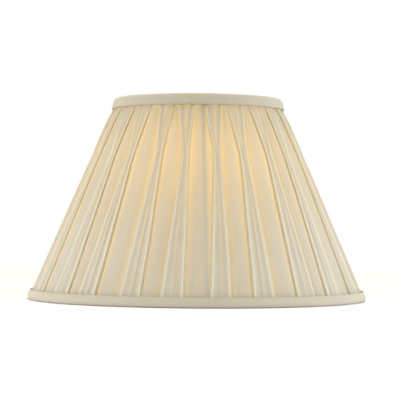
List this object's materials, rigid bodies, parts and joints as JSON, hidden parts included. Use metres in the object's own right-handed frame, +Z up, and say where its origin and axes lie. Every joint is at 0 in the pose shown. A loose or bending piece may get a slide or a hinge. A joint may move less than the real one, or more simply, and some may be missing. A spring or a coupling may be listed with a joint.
{
  "type": "lamp shade",
  "caption": "Conical pleated fabric lamp shade with pinched box pleats, taped rims, a strutted wire frame and a swinging gimbal that carries the lampholder ring.",
  "frame": {"origin": "centre of the bottom rim, on the plane that the shade stands on", "axes": "+Z up along the shade's axis; -Y towards the first strut; the gimbal's pivots lie on a line along X"},
  "size_m": [0.355, 0.355, 0.21],
  "materials": {
    "cover_fabric": "ivory silk-effect woven fabric with a soft sheen",
    "lining_fabric": "smooth off-white lining satin",
    "trim_tape": "folded tape of the same ivory fabric",
    "thread": "ivory sewing thread",
    "frame_enamel": "white coated steel wire",
    "gimbal_enamel": "white coated steel, slightly glossy",
    "rivet_steel": "plain zinc-plated steel",
    "reducer_plastic": "white moulded plastic"
  },
  "bodies": {
    "shade": {"top_ring": "frame_enamel", "bottom_ring": "frame_enamel", "strut_1": "frame_enamel", "strut_2": "frame_enamel", "strut_3": "frame_enamel", "strut_4": "frame_enamel", "strut_5": "frame_enamel", "strut_6": "frame_enamel", "pleated_cover": "cover_fabric", "pinch_stitches": "thread", "lining": "lining_fabric", "top_trim": "trim_tape", "bottom_trim": "trim_tape", "pivot_lug_left": "gimbal_enamel", "pivot_lug_right": "gimbal_enamel", "pivot_rivet_left": "rivet_steel", "pivot_rivet_right": "rivet_steel"},
    "gimbal": {"gimbal_arm_left": "gimbal_enamel", "gimbal_arm_right": "gimbal_enamel", "lampholder_ring": "gimbal_enamel"},
    "reducer": {"reducer_ring": "reducer_plastic"}
  },
  "joints": [
    {"name": "gimbal_swing", "type": "hinge", "parent": "shade", "child": "gimbal", "pos_m": [0, 0, 0.189], "axis": [1, 0, 0], "range_deg": [0, 180]},
    {"name": "reducer_lift", "type": "slide", "parent": "gimbal", "child": "reducer", "axis": [0, 0, 1], "range_m": [0, 0.03]}
  ]
}
